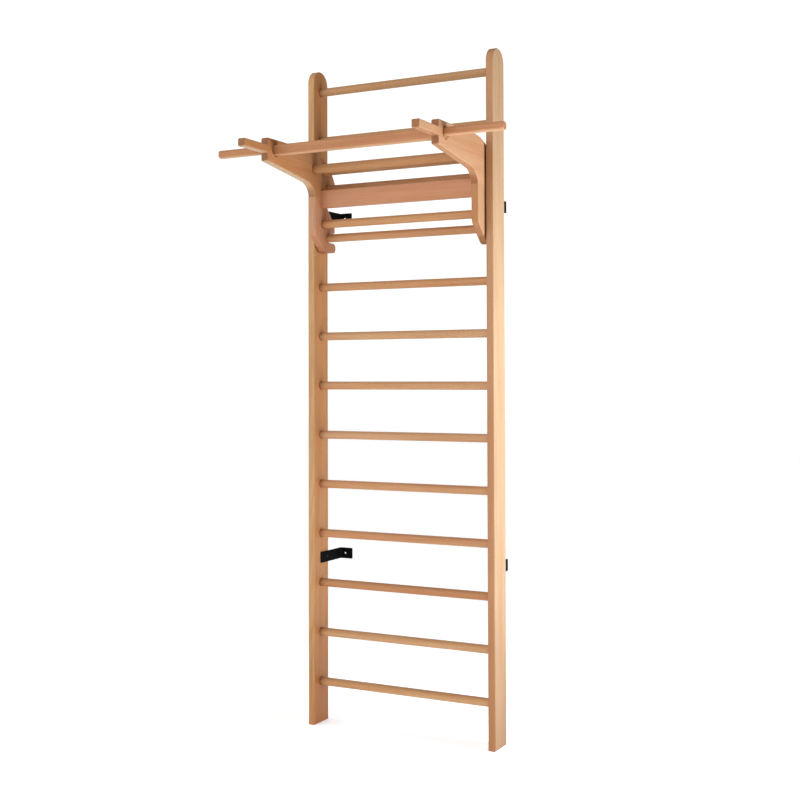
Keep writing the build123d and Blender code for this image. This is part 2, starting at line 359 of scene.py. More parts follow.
# ---- meshes -------------------------------------------------------------------------------------
class Shell:
    """Collects the faces of one piece, with their exact shading normals and their wear and painted
    shade.

    Wear is 1 where an edge is rubbed, 0 on an untouched face and -1 where shade is painted, in bores,
    at their rims and on bars next to them.
    """

    def __init__(self, place):
        self.place = place        # turns (u, v, w) in mm into the model's point and its turn
        self.local = []
        self.points = []
        self.wear_and_shade = []
        self.faces = []
        self.normals = []
        self.corner_wear_and_shade = []

    def ring(self, outline, w, wear_and_shade=0.0, weld=None):
        """Adds one outline at a depth w; points that lie on the ring to weld to are shared."""
        numbers = []
        for i, (u, v) in enumerate(outline):
            here = Vector((u, v, w))
            if weld and (self.local[weld[i]] - here).length < NEAR:
                numbers.append(weld[i])
                continue
            numbers.append(len(self.points))
            self.local.append(here)
            self.points.append(self.place(here)[0])
            self.wear_and_shade.append(wear_and_shade)
        return numbers

    def face(self, corners, normals, untouched=False):
        """Adds one face, turned so that it looks the way its normals point."""
        kept = [k for k, i in enumerate(corners) if i not in corners[:k]]
        if len(kept) < 3:
            return
        corners = [corners[k] for k in kept]
        turned = [(self.place(self.local[i])[1] @ normals[k].to_3d()).normalized()
                  for k, i in zip(kept, corners)]
        points = [self.points[i] for i in corners]
        flat = sum(((points[k] - points[0]).cross(points[k + 1] - points[0])
                    for k in range(1, len(points) - 1)), Vector())
        if flat.dot(sum(turned, Vector())) < 0:
            corners.reverse()
            turned.reverse()
        self.faces.append(corners)
        self.normals.extend(turned)
        self.corner_wear_and_shade.extend(0.0 if untouched else self.wear_and_shade[i] for i in corners)

    def band(self, ring_a, ring_b, pairs_a, pairs_b):
        """Quads between two rings; pairs hold the normals at the two ends of each edge."""
        for i in range(len(ring_a)):
            j = (i + 1) % len(ring_a)
            self.face(
                (ring_a[i], ring_a[j], ring_b[j], ring_b[i]),
                (pairs_a[i][0], pairs_a[i][1], pairs_b[i][1], pairs_b[i][0]),
            )

    def cap(self, rings, direction):
        """A flat face inside the first ring and outside the others."""
        numbers = [i for ring in rings for i in ring]
        loops = [[self.local[i] for i in ring] for ring in rings]
        for triangle in tessellate_polygon(loops):
            self.face([numbers[i] for i in triangle], [Vector((0, 0, direction))] * 3, True)

    def mesh(self, name):
        mesh = bpy.data.meshes.new(name)
        mesh.from_pydata(self.points, [], self.faces)
        mesh.polygons.foreach_set("use_smooth", [True] * len(self.faces))
        mesh.normals_split_custom_set(self.normals)
        attribute = mesh.attributes.new("wear_and_shade", "FLOAT", "CORNER")
        attribute.data.foreach_set("value", self.corner_wear_and_shade)
        return mesh


def leaned(pairs, angle, direction, square=()):
    """Edge normals leaned out of the outline's plane, except those of square edges."""
    lean = Vector((0, 0, direction * sin(angle)))
    result = []
    for i, pair in enumerate(pairs):
        if i in square:
            result.append(tuple(n.to_3d() for n in pair))
        else:
            result.append(tuple(n.to_3d() * cos(angle) + lean for n in pair))
    return result


def side(shell, outline, start, end, eases, square=(), steps=5, weld=None):
    """A slab's side from depth start to end, its rims rounded by eases; returns both rims."""
    pairs = end_normals(outline)
    stations = []
    for w, inward, ease in ((start, 1, eases[0]), (end, -1, eases[1])):
        rounds = range(steps + 1) if ease > 0 else (0,)
        rim = [
            (w + inward * ease * (1 - sin(pi / 2 * i / steps)),
             ease * (1 - cos(pi / 2 * i / steps)), pi / 2 * i / steps, -inward)
            for i in rounds
        ]
        stations.extend(reversed(rim) if inward > 0 else rim)
    rims = []
    before = None
    for w, amount, angle, direction in stations:
        points = inset(outline, amount, square) if amount > 0 else outline
        ring = shell.ring(points, w, sin(2 * angle), weld if not rims else None)
        normals = leaned(pairs, angle, direction, square)
        if before:
            shell.band(before[0], ring, before[1], normals)
        before = (ring, normals)
        rims.append(ring)
    return rims[0], rims[-1]


def turned_side(shell, centre, profile, outward, steps=48):
    """A turned surface about an axis along the depth; profile is a list of (w, radius, wear and
    painted shade).
    """
    unit = end_normals(circle((0.0, 0.0), 1.0, steps))
    rings = [shell.ring(circle(centre, radius, steps), w, wear_and_shade) for w, radius, wear_and_shade in profile]
    for k in range(len(profile) - 1):
        rise = profile[k + 1][0] - profile[k][0]
        spread = profile[k + 1][1] - profile[k][1]
        slope = atan2(spread, abs(rise))
        direction = -copysign(1, rise)
        if outward:
            pairs = unit
        else:
            pairs = [tuple(-n for n in pair) for pair in unit]
            direction = -direction
        normals = leaned(pairs, slope, direction)
        shell.band(rings[k], rings[k + 1], normals, normals)
    return rings[0], rings[-1]


def blind_bore(shell, centre, radius, w, depth):
    """A glued joint's bore with an eased rim, sunk from depth w; returns its rim."""
    into = copysign(1, depth)
    # painted shade on the rim and the walls
    profile = [
        (w, radius + RIM_EASE, BLIND_RIM_PAINTED_SHADE),
        (w + into * RIM_EASE, radius, BORE_PAINTED_SHADE),
        (w + depth, radius, BORE_PAINTED_SHADE),
    ]
    rim, bottom = turned_side(shell, centre, profile, False)
    shell.cap([bottom], -into)
    return rim


def through_bore(shell, centre, radius, start, end, ease, steps=72):
    """A hole right through a slab; returns its two rims."""
    # painted shade on the rims and the walls
    profile = [
        (start, radius + ease, THROUGH_RIM_PAINTED_SHADE),
        (start + ease, radius, BORE_PAINTED_SHADE),
        (end - ease, radius, BORE_PAINTED_SHADE),
        (end, radius + ease, THROUGH_RIM_PAINTED_SHADE),
    ]
    return turned_side(shell, centre, profile, False, steps)


def recess(shell, outline, w, depth, taper):
    """A straight-walled recess of any outline with a flat bottom; returns its rim."""
    pairs = [tuple(-n for n in pair) for pair in end_normals(outline)]
    rim = shell.ring(outline, w, EDGE_WEAR)
    bottom = shell.ring(inset(outline, taper), w + depth)
    normals = leaned(pairs, 0.0, 1)
    shell.band(rim, bottom, normals, normals)
    shell.cap([bottom], -copysign(1, depth))
    return rim


def along_x(sign, x, y, z):
    """Places (u, v, w) at (x + sign * w, y + u, z + v)."""
    turn = Matrix(((0, 0, sign), (1, 0, 0), (0, 1, 0)))
    start = Vector((x, y, z))
    return lambda p: ((start + turn @ p) * MM, turn)


# ---- pieces and their nodes ---------------------------------------------------------------------
def record_body(node):
    """The CAD body that a node belongs to."""
    bodies = frame["record"]["behaviour"]["bodies"]
    return next(body for body, nodes in bodies.items() if node in nodes)


def record_slot(node):
    """The record's material slot of a node."""
    return next(s["material_slot"] for s in frame["record"]["subparts"] if s["node"] == node)


def face_tone_and_light(node, normal):
    """A node's tone on a face that looks a given way, with painted light and shade for that facing."""
    tone_and_light = Vector(PIECE_TONE_AND_LIGHT.get(node, PLAIN_TONE_AND_LIGHT))
    tone_and_light = tone_and_light.lerp(Vector(FRONT_PAINTED_LIGHT.get(node, tone_and_light)), normal.y ** 2)
    return tone_and_light.lerp(Vector(UNDERSIDE_PAINTED_LIGHT.get(node, tone_and_light)), max(-normal.z, 0.0) ** 1.5)


def add_piece(shell, node, materials):
    """Puts a finished shell in the scene in place of its CAD node."""
    piece = bpy.data.objects.new(f"{node}_piece", shell.mesh(f"{node}_mesh"))
    bpy.context.scene.collection.objects.link(piece)
    slot = record_slot(node)
    piece.data.materials.append(materials[slot])
    # each corner's tone carries painted light and shade for the way its face looks
    tone_and_light = piece.data.attributes.new("tone_and_light", "FLOAT_COLOR", "CORNER")
    tone_and_light.data.foreach_set("color", [
        value for normal in shell.normals for value in (*face_tone_and_light(node, normal), 1.0)
    ])
    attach(piece, record_body(node))
    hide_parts(node)


def box_mm(node):
    """A CAD node's lowest and highest corners in millimetres."""
    low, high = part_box(node)
    return Vector(low) / MM, Vector(high) / MM


# ---- wall bars ----------------------------------------------------------------------------------
def make_upright(node, sign, materials):
    """A board with a half-round top, eased edges and a blind bore for every rung."""
    low, high = box_mm(node)
    half = (high.y - low.y) / 2
    inner_x = low.x if sign > 0 else high.x
    outline = [(half, 0.0)] + arc((0.0, high.z - half), half, 0, 180, 64) + [(-half, 0.0)]
    shell = Shell(along_x(sign, inner_x, (high.y + low.y) / 2, 0.0))
    eases = (UPRIGHT_EASE, UPRIGHT_EASE)
    inner_rim, outer_rim = side(shell, outline, 0.0, high.x - low.x, eases)
    bores = []
    for rung in RUNGS:
        rung_low, rung_high = box_mm(rung)
        middle = (0.0, (rung_low.z + rung_high.z) / 2)
        radius = (rung_high.z - rung_low.z) / 2 + GLUE_GAP
        bores.append(blind_bore(shell, middle, radius, 0.0, RUNG_BORE_DEPTH))
    shell.cap([inner_rim] + bores, -1)
    shell.cap([outer_rim], 1)
    add_piece(shell, node, materials)


def make_dowel(node, bore_depth, materials):
    """A round bar with eased ends and painted shade where it leaves its two bores."""
    low, high = box_mm(node)
    middle = (low + high) / 2
    radius = (high.z - low.z) / 2
    shell = Shell(along_x(1, low.x, middle.y, middle.z))
    half = [
        (0.0, radius - DOWEL_EASE, 0.0),
        (DOWEL_EASE, radius, 0.0),
        # painted shade where the bar leaves a bore, fading along the bar
        (bore_depth, radius, BORE_PAINTED_SHADE),
        (bore_depth + PAINTED_SHADE_REACH[0], radius, NEAR_BORE_PAINTED_SHADE),
        (bore_depth + PAINTED_SHADE_REACH[1], radius, 0.0),
    ]
    length = high.x - low.x
    profile = half + [(length - w, r, wear_and_shade) for w, r, wear_and_shade in reversed(half)]
    first, last = turned_side(shell, (0.0, 0.0), profile, True, 64)
    shell.cap([first], -1)
    shell.cap([last], 1)
    add_piece(shell, node, materials)


def bent_strip(sign, face_x, wall_y, z, leg):
    """Wraps a flat strip (u along it, v up, w through it) round the bracket's bend."""
    outer_bend = STEEL_INNER_BEND + STEEL_THICKNESS
    straight = leg - outer_bend

    def place(p):
        if p.x <= straight:
            turn = Matrix(((0, 0, -sign), (1, 0, 0), (0, 1, 0)))
            point = Vector((face_x - sign * p.z, wall_y - leg + p.x, z + p.y))
            return point * MM, turn
        angle = min((p.x - straight) / BEND_LENGTH, 1.0) * pi / 2
        beyond = max(p.x - straight - BEND_LENGTH, 0.0)
        c, s = cos(angle), sin(angle)
        turn = Matrix(((-sign * s, 0, -sign * c), (c, 0, -s), (0, 1, 0)))
        centre = Vector((face_x - sign * outer_bend, wall_y - outer_bend, z + p.y))
        arm = Vector((sign * c, s, 0)) * (outer_bend - p.z)
        return (centre + arm + Vector((-sign * beyond, 0, 0))) * MM, turn

    return place


def bracket_outline(length, half, bends):
    """The flat bar before it is bent, with round corners and a point at every bend step."""
    r = STEEL_CORNER
    outline = arc((r, r - half), r, 180, 270, 6)
    outline += [(u, -half) for u in bends]
    outline += arc((length - r, r - half), r, 270, 360, 6)
    outline += arc((length - r, half - r), r, 0, 90, 6)
    outline += [(u, half) for u in reversed(bends)]
    return outline + arc((r, half - r), r, 90, 180, 6)


def make_wall_bracket(node, sign, materials):
    """Flat bar with round corners, a countersunk and a plain hole, bent to an angle."""
    low, high = box_mm(node)
    face_x = high.x if sign > 0 else low.x
    leg = high.y - low.y
    straight = leg - STEEL_INNER_BEND - STEEL_THICKNESS
    flange = high.x - low.x - STEEL_INNER_BEND - STEEL_THICKNESS
    length = straight + BEND_LENGTH + flange
    bends = [straight + BEND_LENGTH * i / BEND_STEPS for i in range(BEND_STEPS + 1)]
    outline = bracket_outline(length, (high.z - low.z) / 2, bends)
    shell = Shell(bent_strip(sign, face_x, high.y, (low.z + high.z) / 2, leg))
    rims = side(shell, outline, 0.0, STEEL_THICKNESS, (STEEL_EASE, STEEL_EASE), steps=3)
    seat = SCREW_HEAD_RADIUS + GLUE_GAP
    screw_u = box_mm("left_upright")[1].y - SCREW_INSET - low.y
    screw_rims = turned_side(shell, (screw_u, 0.0), [
        (STEEL_THICKNESS, seat, EDGE_WEAR),
        (STEEL_THICKNESS - SCREW_HEAD_DEPTH, SCREW_RADIUS + GLUE_GAP, 0.0),
        (0.0, SCREW_RADIUS + GLUE_GAP, 0.0),
    ], False, 40)
    wall_u = straight + BEND_LENGTH + abs(face_x) - WALL_HOLE_X - STEEL_INNER_BEND - STEEL_THICKNESS
    wall_rims = through_bore(
        shell, (wall_u, 0.0), WALL_HOLE_RADIUS, 0.0, STEEL_THICKNESS, STEEL_EASE, 40)
    limits = [-1.0] + bends + [length + 1.0]
    for start, end in zip(limits, limits[1:]):
        for rim, direction, screw_rim, wall_rim in (
                (rims[0], -1, screw_rims[1], wall_rims[0]),
                (rims[1], 1, screw_rims[0], wall_rims[1])):
            cell = [i for i in rim if start - NEAR <= shell.local[i].x <= end + NEAR]
            holes = []
            if start < screw_u < end:
                holes.append(screw_rim)
            if start < wall_u < end:
                holes.append(wall_rim)
            shell.cap([cell] + holes, direction)
    add_piece(shell, node, materials)


def cross_outline(reach, half):
    """A cross with four equal arms."""
    quarter = [(reach, -SCREW_CROSS_TAPER * half), (reach, SCREW_CROSS_TAPER * half), (half, half)]
    points = []
    for turns in range(4):
        for u, v in quarter:
            for _ in range(turns):
                u, v = -v, u
            points.append((u, v))
    return points


def make_screws(materials):
    """A countersunk cross-head screw in the leg of each wall bracket."""
    node = "wall_bracket_screws"
    edge_depth, edge_inset = SCREW_HEAD_EDGE
    point_length, point_radius = SCREW_POINT
    shell = Shell(None)
    for bracket, sign in BRACKETS.items():
        low, high = box_mm(bracket)
        face_x = (high.x if sign > 0 else low.x) - sign * STEEL_THICKNESS
        y = box_mm("left_upright")[1].y - SCREW_INSET
        shell.place = along_x(sign, face_x, y, (low.z + high.z) / 2)
        rim, tip = turned_side(shell, (0.0, 0.0), [
            (0.0, SCREW_HEAD_RADIUS - edge_depth, EDGE_WEAR),
            (edge_depth, SCREW_HEAD_RADIUS - edge_inset, EDGE_WEAR),
            (SCREW_HEAD_DEPTH, SCREW_RADIUS, 0.0),
            (SCREW_LENGTH - point_length, SCREW_RADIUS, 0.0),
            (SCREW_LENGTH, point_radius, 0.0),
        ], True, 40)
        cross = recess(
            shell, cross_outline(*SCREW_CROSS), 0.0, SCREW_CROSS_DEPTH, SCREW_CROSS_DRAFT)
        shell.cap([rim, cross], -1)
        shell.cap([tip], 1)
    add_piece(shell, node, materials)


# ---- pull-up frame ------------------------------------------------------------------------------
def plate_outline():
    """The whole side plate from the side: u behind the hook's axis, v above it."""
    shoulder_middle = (SHOULDER_START, FORK_TOP - SHOULDER_RADIUS)
    shoulder_end = degrees(acos((PRONG_BACK - SHOULDER_START) / SHOULDER_RADIUS))
    mouth_end_angle = -degrees(acos(BACK_EDGE / MOUTH_RADIUS))
    finger_top = -RUNG_PITCH - RUNG_RADIUS - MOUTH_GAP
    neck_top = FORK_BOTTOM - FORK_SLOPE * (NECK_FRONT - FORK_FRONT)
    mouth = arc((0.0, 0.0), MOUTH_RADIUS, -90, mouth_end_angle, 10)
    rung_below = arc((0.0, -RUNG_PITCH), HOOK_RADIUS, 270, 90, 32)
    seat = arc((0.0, 0.0), HOOK_RADIUS, 180, 0, 40)
    shoulder = arc(shoulder_middle, SHOULDER_RADIUS, shoulder_end, 90, 48)
    points = [
        (FORK_FRONT, FORK_TOP), (FORK_FRONT, HORN_TOP), (HORN_TIP, HORN_TOP),
        (HORN_TIP, HORN_BOTTOM), (FORK_FRONT, HORN_BOTTOM), (FORK_FRONT, FORK_BOTTOM),
        (NECK_FRONT, neck_top), (NECK_FRONT, NECK_BOTTOM), TOE,
        (PRONG_BACK, HEEL_BOTTOM), (PRONG_BACK, finger_top),
    ]
    points += rung_below[1:-1] + mouth
    points += [(BACK_EDGE, SLOT_BOTTOM), (-HOOK_RADIUS, SLOT_TOP)]
    points += seat + [(HOOK_RADIUS, PRONG_BOTTOM), (PRONG_BACK, PRONG_BOTTOM)] + shoulder
    corners = [
        (6.0, (FORK_FRONT, FORK_TOP)),
        (6.0, (FORK_FRONT, FORK_BOTTOM)),
        (6.0, (HORN_TIP, HORN_TOP)),
        (6.0, (HORN_TIP, HORN_BOTTOM)),
        (6.0, (HOOK_RADIUS, PRONG_BOTTOM)),
        (6.0, mouth[-1]),
        (4.0, (FORK_FRONT, HORN_TOP)),
        (4.0, (FORK_FRONT, HORN_BOTTOM)),
        (58.0, (NECK_FRONT, neck_top)),
        (45.0, (NECK_FRONT, NECK_BOTTOM)),
        (30.0, TOE),
        (15.0, (PRONG_BACK, HEEL_BOTTOM)),
        (15.0, (PRONG_BACK, finger_top)),
        (12.0, (BACK_EDGE, SLOT_BOTTOM)),
        (12.0, (PRONG_BACK, PRONG_BOTTOM)),
        (20.0, (-HOOK_RADIUS, SLOT_TOP)),
    ]
    for radius, place in corners:
        points = round_corner(points, place, radius)
    return points


def cut_outline(points, level, above):
    """The part of an outline above or below a level that it crosses twice."""
    kept = []
    for i, (u, v) in enumerate(points):
        u2, v2 = points[(i + 1) % len(points)]
        if (v > level) == above:
            kept.append((u, v))
        if (v > level) != (v2 > level):
            t = (level - v) / (v2 - v)
            kept.append((u + t * (u2 - u), level))
    return kept


def make_plate_half(node, sign, outline, bores, materials):
    """The arm or the leg of a side plate, square only along the glue line."""
    low, high = box_mm(node)
    hook_low, hook_high = box_mm(HOOK_RUNG)
    inner_x = low.x if sign > 0 else high.x
    hook = (hook_low + hook_high) / 2
    thickness = high.x - low.x
    glue = [
        i for i in range(len(outline))
        if outline[i][1] == GLUE_LINE and outline[(i + 1) % len(outline)][1] == GLUE_LINE
    ]
    shell = Shell(along_x(sign, inner_x, hook.y, hook.z))
    rims = side(shell, outline, 0.0, thickness, (PLATE_EASE, PLATE_EASE), square=glue)
    inner = [rims[0]]
    outer = [rims[1]]
    for dowel, place in bores.items():
        dowel_low, dowel_high = box_mm(dowel)
        radius = (dowel_high.z - dowel_low.z) / 2 + GLUE_GAP
        inner.append(blind_bore(shell, place, radius, 0.0, DOWEL_BORE_DEPTH))
    if node.endswith("arm"):
        near, far = through_bore(
            shell, CROSSBAR_AT, CROSSBAR_HOLE_RADIUS, 0.0, thickness, HOLE_EASE)
        inner.append(near)
        outer.append(far)
    shell.cap(inner, -1)
    shell.cap(outer, 1)
    add_piece(shell, node, materials)


def make_crossbar(materials):
    """A bar with round edges that runs through both plates and ends in thinner grips."""
    node = "crossbar"
    low, high = box_mm(node)
    hook_low, hook_high = box_mm(HOOK_RUNG)
    hook = (hook_low + hook_high) / 2
    length = high.x - low.x
    shoulder = box_mm("left_plate_arm")[0].x - low.x
    depth, height = CROSSBAR_SIZE
    lift = (height - CROSSBAR_END_HEIGHT) / 2 - CROSSBAR_END_INSET
    grip_depth = depth - 2 * CROSSBAR_END_INSET
    grip = rounded_rectangle((0.0, lift), grip_depth, CROSSBAR_END_HEIGHT, CROSSBAR_END_CORNER)
    middle = rounded_rectangle((0.0, 0.0), depth, height, CROSSBAR_CORNER)
    shell = Shell(along_x(1, low.x, hook.y + CROSSBAR_AT[0], hook.z + CROSSBAR_AT[1]))
    tip, root = side(shell, grip, 0.0, shoulder, (CROSSBAR_TIP, 0.0))
    shell.cap([tip], -1)
    start, end = side(shell, middle, shoulder, length - shoulder, (0.0, 0.0), weld=root)
    facing = [(Vector((0, 0, -1)),) * 2] * len(grip)
    shell.band(root, start, facing, facing)
    root, tip = side(shell, grip, length - shoulder, length, (0.0, CROSSBAR_TIP), weld=end)
    facing = [(Vector((0, 0, 1)),) * 2] * len(grip)
    shell.band(end, root, facing, facing)
    shell.cap([tip], 1)
    add_piece(shell, node, materials)


def make_spreader_board(materials):
    """A flat board with eased long edges between the plates."""
    node = "spreader_board"
    low, high = box_mm(node)
    middle = (low + high) / 2
    outline = rounded_rectangle((0.0, 0.0), high.y - low.y, high.z - low.z, BOARD_EDGE)
    shell = Shell(along_x(1, low.x, middle.y, middle.z))
    rims = side(shell, outline, 0.0, high.x - low.x, (0.0, 0.0))
    shell.cap([rims[0]], -1)
    shell.cap([rims[1]], 1)
    add_piece(shell, node, materials)


# ---- materials ----------------------------------------------------------------------------------
def socket(tree, kind, inputs, output=0, **settings):
    """Adds a node, links or sets its inputs, and returns one of its outputs."""
    node = tree.nodes.new(f"ShaderNode{kind}")
    for name, value in settings.items():
        setattr(node, name, value)
    for name, value in inputs.items():
        if isinstance(value, bpy.types.NodeSocket):
            tree.links.new(value, node.inputs[name])
        else:
            node.inputs[name].default_value = value
    return node.outputs[output]


def maths(tree, operation, *values):
    return socket(tree, "Math", dict(enumerate(values)), operation=operation)


def ramp(tree, value, low, high, to_low=0.0, to_high=1.0):
    """Maps a value smoothly from one range to another and stops at its ends."""
    return socket(tree, "MapRange", {
        "Value": value, "From Min": low, "From Max": high, "To Min": to_low, "To Max": to_high,
    }, interpolation_type="SMOOTHSTEP")


def mixed(tree, factor, first, second, blend="MIX"):
    return socket(tree, "Mix", {0: factor, 6: first, 7: second}, output=2,
                  data_type="RGBA", blend_type=blend)


def noise(tree, vector, scale, detail=2.0, roughness=0.5):
    return socket(tree, "TexNoise", {
        "Vector": vector, "Scale": scale, "Detail": detail, "Roughness": roughness,
    })


def start_material(name):
    """An empty node material with its output and main shader."""
    material = bpy.data.materials.new(name)
    material.use_nodes = True
    tree = material.node_tree
    return material, tree, tree.nodes["Principled BSDF"]


def stained(tree, colour, stain, amount=1.0):
    """A colour multiplied by a stain, as far as the amount says."""
    return mixed(tree, amount, colour, stain, "MULTIPLY")


class Fibres:
    """Places along and across one wood's fibres, and the textures that follow them."""

    def __init__(self, tree, grain, seed):
        coordinates = tree.nodes.new("ShaderNodeTexCoord")
        position = tree.nodes.new("ShaderNodeSeparateXYZ")
        facing = tree.nodes.new("ShaderNodeSeparateXYZ")
        tree.links.new(coordinates.outputs["Object"], position.inputs[0])
        tree.links.new(coordinates.outputs["Normal"], facing.inputs[0])
        self.tree = tree
        self.height = position.outputs["Z"]
        self.along = position.outputs[grain]
        self.across = [position.outputs[axis] for axis in "XYZ" if axis != grain]
        self.shifted = [
            maths(tree, "ADD", self.across[0], seed),
            maths(tree, "ADD", self.across[1], seed * 0.7),
        ]
        self.end_on = ramp(tree, maths(tree, "ABSOLUTE", facing.outputs[grain]), 0.55, 0.95)
        self.fine = self.texture("fibres")
        self.flecks = ramp(tree, self.texture("flecks"), 0.66, 0.72)

    def texture(self, kind):
        """One of WOOD_TEXTURES, drawn out along the fibres."""
        stretch, scale, detail, roughness = WOOD_TEXTURES[kind]
        squeezed = maths(self.tree, "MULTIPLY", self.along, stretch)
        place = socket(self.tree, "CombineXYZ", {
            0: self.shifted[0], 1: self.shifted[1], 2: squeezed,
        })
        return noise(self.tree, place, scale, detail, roughness)

    def rings(self, pith):
        """Wavy, slightly tapered growth rings about a far pith."""
        tree = self.tree
        from_pith = socket(tree, "CombineXYZ", {
            0: maths(tree, "ADD", self.across[0], pith[0]),
            1: maths(tree, "ADD", self.across[1], pith[1]),
        })
        radius = socket(tree, "VectorMath", {0: from_pith}, output=1, operation="LENGTH")
        wavy = maths(tree, "MULTIPLY_ADD", self.texture("wander"), RING_WANDER, radius)
        tapered = maths(tree, "MULTIPLY_ADD", self.along, RING_TAPER, wavy)
        phase = maths(tree, "MULTIPLY", tapered, 2 * pi / RING_GAP)
        wave = maths(tree, "MULTIPLY_ADD", maths(tree, "SINE", phase), 0.5, 0.5)
        return maths(tree, "POWER", wave, RING_SHARPNESS)


def bare_wood(fibres, pith, light, dark):
    """The wood's own colour: rings, fibres, heartwood bands, ray flecks and dark end grain."""
    tree = fibres.tree
    patterns = {
        "rings": fibres.rings(pith),
        "fibres": fibres.fine,
        "streaks": fibres.texture("streaks"),
        "tone": fibres.texture("tone"),
    }
    depth = 0.0
    for kind, share in WOOD_DEPTH.items():
        depth = maths(tree, "MULTIPLY_ADD", patterns[kind], share, depth)
    colour = mixed(tree, ramp(tree, depth, 0.55, 1.4), light, dark)
    bands = ramp(tree, fibres.texture("bands"), 0.45, 0.68)
    colour = stained(tree, colour, HEARTWOOD, maths(tree, "MULTIPLY", bands, 0.7))
    colour = stained(tree, colour, RAY_FLECK, maths(tree, "MULTIPLY", fibres.flecks, 0.5))
    pores = ramp(tree, fibres.texture("end_pores"), 0.4, 0.65, 0.8, 0.95)
    pored = socket(tree, "CombineColor", {0: pores, 1: pores, 2: pores})
    return stained(tree, colour, stained(tree, END_GRAIN, pored), fibres.end_on)


def wear_tone_and_painted_light(fibres, colour, darker_below, with_tone_and_light):
    """Adds rubbed edges, painted shade at bores, darker feet, and the piece's tone with its painted
    light and shade.
    """
    tree = fibres.tree
    wear_and_shade = socket(tree, "Attribute", {}, output=2, attribute_name="wear_and_shade")
    patches = ramp(tree, fibres.texture("patches"), 0.35, 0.7)
    rubbing = maths(tree, "MAXIMUM", maths(tree, "MULTIPLY", wear_and_shade, patches), 0.0)
    # painted shade at bores, their rims and bars next to them, where the value is below 0
    painted_shade = maths(tree, "MAXIMUM", maths(tree, "MULTIPLY", wear_and_shade, -1.0), 0.0)
    colour = stained(tree, colour, RUBBED, maths(tree, "MULTIPLY", rubbing, 0.55))
    colour = stained(tree, colour, PAINTED_SHADE_STAIN, painted_shade)
    # darker and more orange towards the bottom of the uprights
    if darker_below > 0:
        lower_share = ramp(tree, fibres.height, 0.0, darker_below, 1.0, 0.0)
        colour = stained(tree, colour, LOWER_DARKENING, lower_share)
    # the piece's tone, partly its own and partly painted light and shade by the way each face looks
    if with_tone_and_light:
        tone_and_light = socket(tree, "Attribute", {}, attribute_name="tone_and_light")
        colour = stained(tree, colour, tone_and_light)
    return colour


def varnish(fibres, shader, shine):
    """A thin, smudged coat over open pores."""
    tree = fibres.tree
    roughness = maths(tree, "MULTIPLY_ADD", fibres.texture("smudges"), 0.18, shine)
    roughness = maths(tree, "MULTIPLY_ADD", fibres.end_on, 0.15, roughness)
    roughness = maths(tree, "MULTIPLY_ADD", fibres.fine, 0.06, roughness)
    tree.links.new(roughness, shader.inputs["Roughness"])
    relief = maths(tree, "MULTIPLY_ADD", fibres.texture("pores"), 0.5, fibres.fine)
    relief = maths(tree, "MULTIPLY_ADD", fibres.flecks, -0.4, relief)
    bump = socket(tree, "Bump", {"Height": relief, "Strength": 0.35, "Distance": 0.00025})
    tree.links.new(bump, shader.inputs["Normal"])
    shader.inputs["Coat Weight"].default_value = 0.1
    shader.inputs["Coat Roughness"].default_value = 0.2
    shader.inputs["Specular IOR Level"].default_value = 0.22


def wood(name, grain, pith, seed, light=BEECH_LIGHT, dark=BEECH_DARK, shine=WOOD_SHINE,
         darker_below=0.0, with_tone_and_light=True):
    """Varnished beech.

    grain is the axis the fibres run along, pith the log's middle on the other two, in metres.
    """
    material, tree, shader = start_material(name)
    fibres = Fibres(tree, grain, seed)
    colour = bare_wood(fibres, pith, light, dark)
    colour = wear_tone_and_painted_light(fibres, colour, darker_below, with_tone_and_light)
    tree.links.new(colour, shader.inputs["Base Color"])
    varnish(fibres, shader, shine)
    return material


def painted_steel(name, colour, metallic, base_roughness):
    """Powder coat or black oxide: a fine orange peel, dusty patches and rubbed edges."""
    material, tree, shader = start_material(name)
    coordinates = tree.nodes.new("ShaderNodeTexCoord")
    place = coordinates.outputs["Object"]
    dust = ramp(tree, noise(tree, place, 60.0, 4.0), 0.45, 0.75)
    grain = noise(tree, place, 1800.0, 2.0)
    worn = socket(tree, "Attribute", {}, output=2, attribute_name="wear_and_shade")
    rub = ramp(tree, noise(tree, place, 240.0, 3.0), 0.5, 0.62)
    worn = maths(tree, "MULTIPLY", maths(tree, "MAXIMUM", worn, 0.0), rub)
    lighter = [2.6 * c + 0.006 for c in colour[:3]] + [1.0]
    dusty = [1.5 * c + 0.0015 for c in colour[:3]] + [1.0]
    base = mixed(tree, maths(tree, "MULTIPLY", dust, 0.6), colour, dusty)
    base = mixed(tree, maths(tree, "MULTIPLY", worn, 0.7), base, lighter)
    tree.links.new(base, shader.inputs["Base Color"])
    roughness = maths(tree, "MULTIPLY_ADD", dust, 0.15, base_roughness)
    roughness = maths(tree, "MULTIPLY_ADD", grain, 0.08, roughness)
    tree.links.new(roughness, shader.inputs["Roughness"])
    bump = socket(tree, "Bump", {"Height": grain, "Strength": 0.3, "Distance": 0.0002})
    tree.links.new(bump, shader.inputs["Normal"])
    shader.inputs["Metallic"].default_value = metallic
    shader.inputs["Specular IOR Level"].default_value = 0.06
    return material


